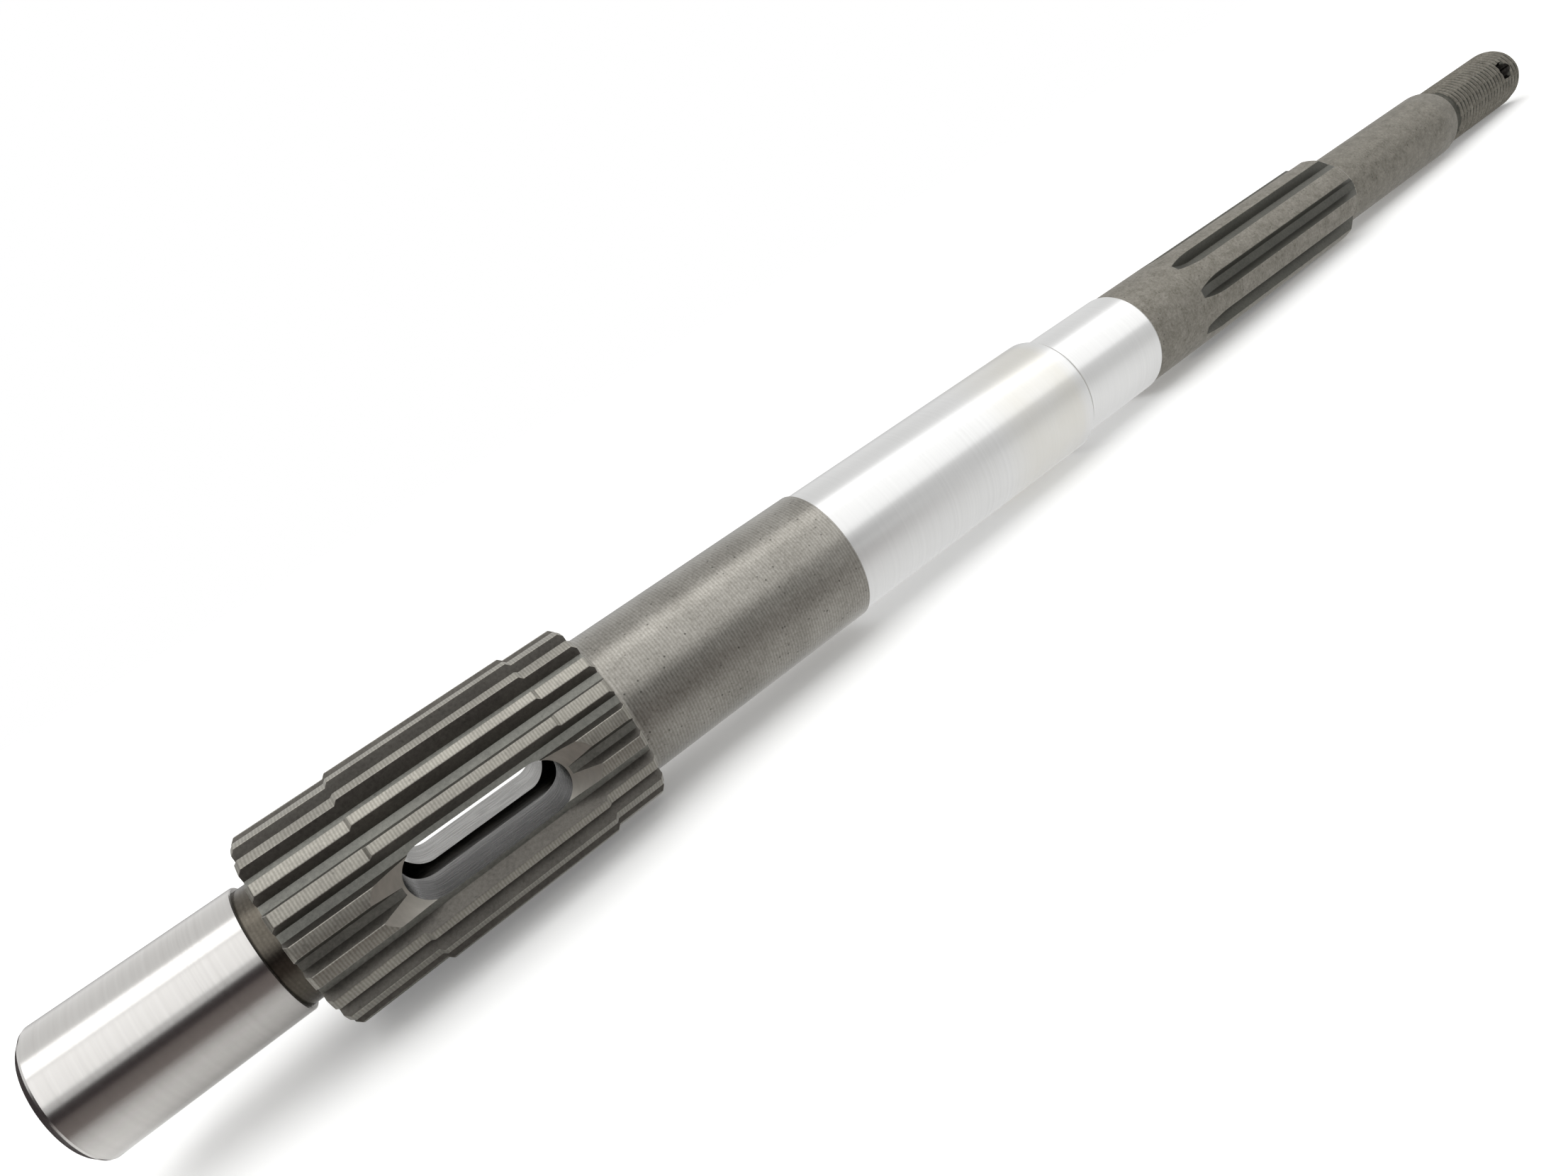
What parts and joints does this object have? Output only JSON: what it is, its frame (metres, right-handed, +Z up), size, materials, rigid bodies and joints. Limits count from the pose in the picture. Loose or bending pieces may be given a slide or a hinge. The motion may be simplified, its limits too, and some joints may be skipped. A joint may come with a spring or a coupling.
{
  "type": "propeller shaft",
  "caption": "Stepped steel propeller shaft of a small outboard motor: front journal with shift bore, slotted clutch spline, bearing and seal journals, propeller spline and threaded tail.",
  "frame": {"origin": "on the shaft's axis, at the middle of the shift slot, where the clutch pin sits in neutral", "axes": "+X along the axis from the front journal to the propeller nut, +Y along the shift slot's passage through the shaft, +Z up as it lies on two clutch teeth"},
  "size_m": [0.2949, 0.0246, 0.0254],
  "materials": {
    "steel": "ground bright on the journals, dark phosphated on the splines, shank and tail"
  },
  "bodies": {
    "root": {"propeller_shaft": "steel"}
  },
  "joints": []
}
